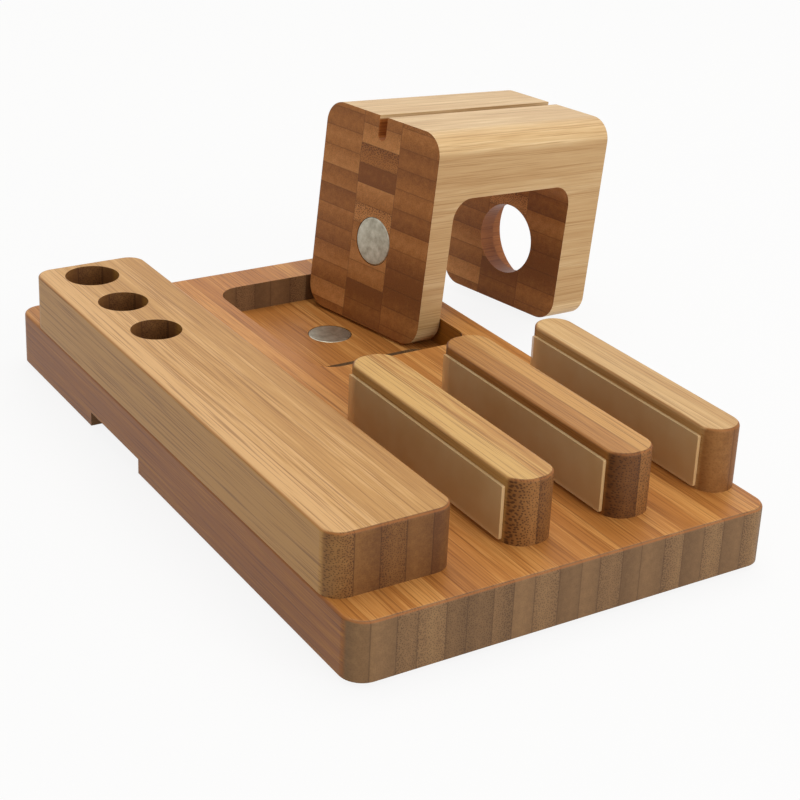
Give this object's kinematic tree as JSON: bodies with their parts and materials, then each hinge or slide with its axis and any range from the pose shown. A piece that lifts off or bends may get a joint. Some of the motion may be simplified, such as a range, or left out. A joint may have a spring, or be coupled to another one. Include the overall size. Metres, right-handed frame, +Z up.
{
  "type": "charging station organizer",
  "caption": "Bamboo desk organizer with padded device slots, pen holes and a pocket that holds a loose U-shaped watch charger stand.",
  "frame": {"origin": "on the table, under the middle of the base board", "axes": "+X to the right along the front edge, +Y towards the back, +Z up"},
  "size_m": [0.1565, 0.1746, 0.0653],
  "materials": {
    "bamboo_board": "clear lacquered laminated bamboo, satin",
    "bamboo_block": "clear lacquered laminated bamboo, satin",
    "bamboo_divider": "clear lacquered laminated bamboo, satin",
    "bamboo_stand": "clear lacquered laminated bamboo, satin",
    "soft_pad": "frosted translucent soft pad",
    "plated_magnet": "dull nickel plating",
    "rubber_foot": "matte black rubber"
  },
  "bodies": {
    "organizer": {"base_board": "bamboo_board", "pen_block": "bamboo_block", "divider_left": "bamboo_divider", "divider_middle": "bamboo_divider", "divider_right": "bamboo_divider", "pad_left": "soft_pad", "pad_middle": "soft_pad", "pad_right": "soft_pad", "pocket_magnet": "plated_magnet", "foot_front_left": "rubber_foot", "foot_front_right": "rubber_foot", "foot_back_left": "rubber_foot", "foot_back_right": "rubber_foot"},
    "loose_stand": {"watch_stand": "bamboo_stand", "stand_magnet": "plated_magnet"}
  },
  "joints": [
    {"name": "watch_stand_lift", "type": "slide", "parent": "organizer", "child": "loose_stand", "axis": [0, 0, 1], "range_m": [0, 0.06]}
  ]
}
